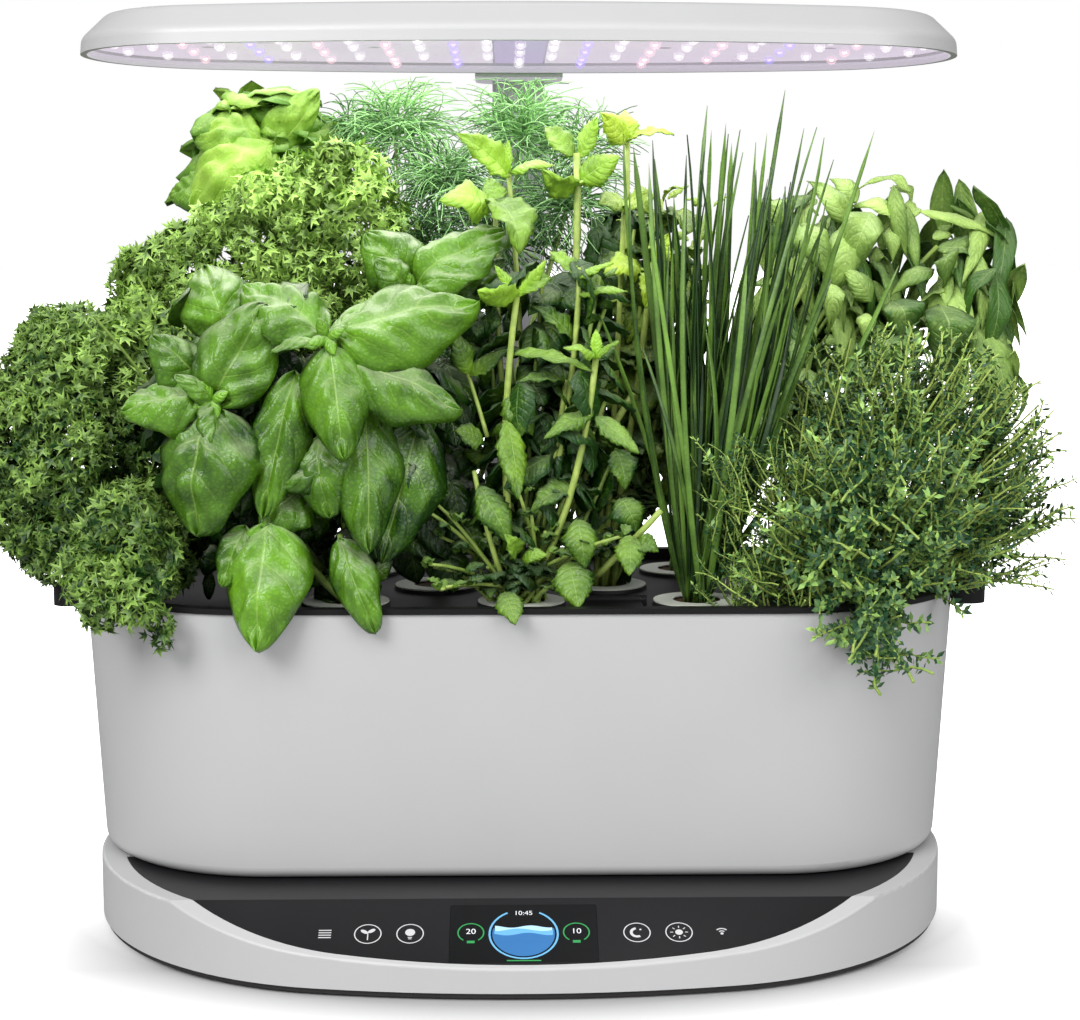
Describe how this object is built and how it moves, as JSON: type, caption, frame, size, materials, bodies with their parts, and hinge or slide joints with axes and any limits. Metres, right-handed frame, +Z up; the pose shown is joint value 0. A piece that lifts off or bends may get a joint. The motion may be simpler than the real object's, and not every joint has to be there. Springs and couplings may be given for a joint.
{
  "type": "countertop hydroponic garden",
  "caption": "Self-watering countertop garden: planted water bowl on a base with a sloped control panel, lit by a flat lamp on a telescoping mast behind it.",
  "frame": {"origin": "on the counter under the middle of the footprint", "axes": "+Z up, +X to the user's right, -Y towards the user, who faces the control panel"},
  "size_m": [0.524, 0.285, 0.4345],
  "materials": {
    "shell_white": "smooth white moulding with a soft sheen",
    "base_dark": "matt black",
    "foot_rubber": "matt",
    "screw_steel": "plain zinc-plated",
    "panel_gloss_black": "smooth black with a satin gloss",
    "screen_glass": "polished black",
    "circuit_board": "solder mask",
    "socket_black": "matt",
    "mast_grey": "satin anodised",
    "spreader_aluminium": "mill finish",
    "led_board_white": "white reflective coating",
    "led_emitter": "clear resin over the emitter",
    "lamp_clear": "clear and smooth",
    "bowl_grey": "fine satin light grey",
    "deck_black": "fine satin black",
    "pump_black": "matt",
    "impeller_white": "moulded",
    "float_foam": "closed-cell foam",
    "basket_black": "moulded",
    "sponge_brown": "open peat foam",
    "label_pale": "printed paper ring, pale with a green edge",
    "leaf_basil": "waxy leaf",
    "leaf_basil_back": "waxy leaf",
    "leaf_mint": "soft leaf",
    "leaf_chives": "waxy blade",
    "leaf_parsley": "crisp leaf",
    "leaf_dill": "fine thread leaf",
    "leaf_lemon_balm": "soft leaf",
    "leaf_thyme": "small dry leaf",
    "leaf_thai_basil": "waxy leaf"
  },
  "bodies": {
    "base": {"base_shell": "shell_white", "base_bottom_cover": "base_dark", "rubber_feet": "foot_rubber", "bottom_screws": "screw_steel", "control_panel": "panel_gloss_black", "display_screen": "screen_glass", "control_board": "circuit_board", "power_inlet": "socket_black", "mast_housing": "shell_white", "mast_outer": "mast_grey", "mast_outer_collar": "shell_white"},
    "mast_stage": {"mast_middle": "mast_grey", "mast_middle_collar": "shell_white"},
    "lamp": {"mast_inner": "mast_grey", "lamp_arm": "shell_white", "lamp_hood": "shell_white", "heat_spreader": "spreader_aluminium", "led_board": "led_board_white", "leds": "led_emitter", "lamp_lens": "lamp_clear", "lamp_screws": "screw_steel"},
    "lid": {"fill_lid": "deck_black"},
    "float": {"level_float": "float_foam"},
    "impeller": {"pump_impeller": "impeller_white"},
    "bowl_unit": {"water_bowl": "bowl_grey", "grow_deck": "deck_black", "fill_lid_pin": "screw_steel", "float_post": "pump_black", "pump_filter": "pump_black", "pump_cover": "pump_black", "pump_body": "pump_black", "pump_riser": "pump_black", "pod_labels": "label_pale", "plant_basil_front": "leaf_basil", "plant_mint": "leaf_mint", "plant_chives": "leaf_chives", "plant_parsley": "leaf_parsley", "plant_dill": "leaf_dill", "plant_lemon_balm": "leaf_lemon_balm", "plant_thyme": "leaf_thyme", "plant_basil_back": "leaf_basil_back", "plant_thai_basil": "leaf_thai_basil", "basket_front_left": "basket_black", "sponge_front_left": "sponge_brown", "basket_front_middle": "basket_black", "sponge_front_middle": "sponge_brown", "basket_front_right": "basket_black", "sponge_front_right": "sponge_brown", "basket_middle_outer_left": "basket_black", "sponge_middle_outer_left": "sponge_brown", "basket_middle_left": "basket_black", "sponge_middle_left": "sponge_brown", "basket_middle_right": "basket_black", "sponge_middle_right": "sponge_brown", "basket_middle_outer_right": "basket_black", "sponge_middle_outer_right": "sponge_brown", "basket_back_left": "basket_black", "sponge_back_left": "sponge_brown", "basket_back_right": "basket_black", "sponge_back_right": "sponge_brown"}
  },
  "joints": [
    {"name": "mast_middle_slide", "type": "slide", "parent": "base", "child": "mast_stage", "axis": [0, 0, 1], "range_m": [0, 0.177]},
    {"name": "mast_inner_slide", "type": "slide", "parent": "mast_stage", "child": "lamp", "axis": [0, 0, 1], "range_m": [0, 0.177]},
    {"name": "bowl_pull_out", "type": "slide", "parent": "base", "child": "bowl_unit", "axis": [0, -1, 0], "range_m": [0, 0.28]},
    {"name": "fill_lid_hinge", "type": "hinge", "parent": "bowl_unit", "child": "lid", "pos_m": [0.042, -0.036, 0.1585], "axis": [-1, 0, 0], "range_deg": [0, 100]},
    {"name": "float_slide", "type": "slide", "parent": "bowl_unit", "child": "float", "axis": [0, 0, 1], "range_m": [-0.07, 0]},
    {"name": "impeller_spin", "type": "hinge", "parent": "bowl_unit", "child": "impeller", "pos_m": [0, 0.071, 0.056], "axis": [0, 0, 1], "continuous": true}
  ]
}
